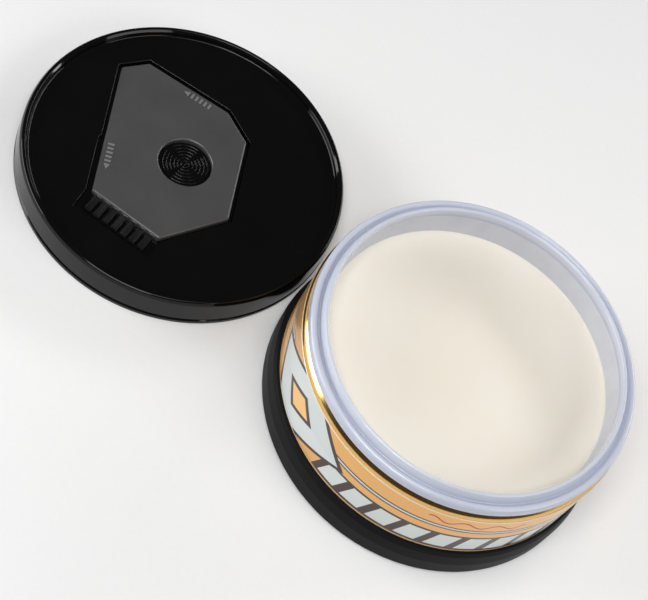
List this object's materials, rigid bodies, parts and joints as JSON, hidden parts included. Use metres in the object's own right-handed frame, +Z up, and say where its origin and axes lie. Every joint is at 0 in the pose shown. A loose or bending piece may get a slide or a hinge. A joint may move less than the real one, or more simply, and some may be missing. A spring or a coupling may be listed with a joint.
{
  "type": "polish tin",
  "caption": "Round flat tin of paste polish, open, with a printed wall, rim ring, rubber base ring and cream wax, its lid beside it stowing an opener and brush tool.",
  "frame": {"origin": "axis of the tin, at the middle of the flat face that it stands on", "axes": "+Z up along the tin's axis, the opened lid lies along -X, +Y completes the right-handed frame"},
  "size_m": [0.2288, 0.1148, 0.0462],
  "materials": {
    "gold_tinplate": "gold lacquered, glossy",
    "plain_tinplate": "bright tinplate",
    "sealing_compound": "matte",
    "base_rubber": "matte",
    "label_film": "glossy print on metallic film",
    "cup_plastic": "matte",
    "rim_plastic": "satin gloss",
    "paste_wax": "soft satin",
    "lid_plastic": "mirror gloss",
    "liner_foam": "matte foam",
    "tool_plastic": "satin",
    "tuft_nylon": "satin nylon"
  },
  "bodies": {
    "tin": {"can_wall": "gold_tinplate", "can_base": "plain_tinplate", "seam_compound": "sealing_compound", "base_ring": "base_rubber", "label_wrap": "label_film", "inner_cup": "cup_plastic", "rim_ring": "rim_plastic", "wax_cake": "paste_wax"},
    "lid": {"lid_shell": "lid_plastic", "lid_liner": "liner_foam"},
    "tool": {"tool_plate": "tool_plastic", "brush_tufts": "tuft_nylon"}
  },
  "joints": [
    {"name": "lid_lift", "type": "slide", "parent": "tin", "child": "lid", "axis": [0, 0, 1], "range_m": [0, 0.08]},
    {"name": "tool_lift", "type": "slide", "parent": "lid", "child": "tool", "axis": [0, 0, 1], "range_m": [0, 0.04]}
  ]
}
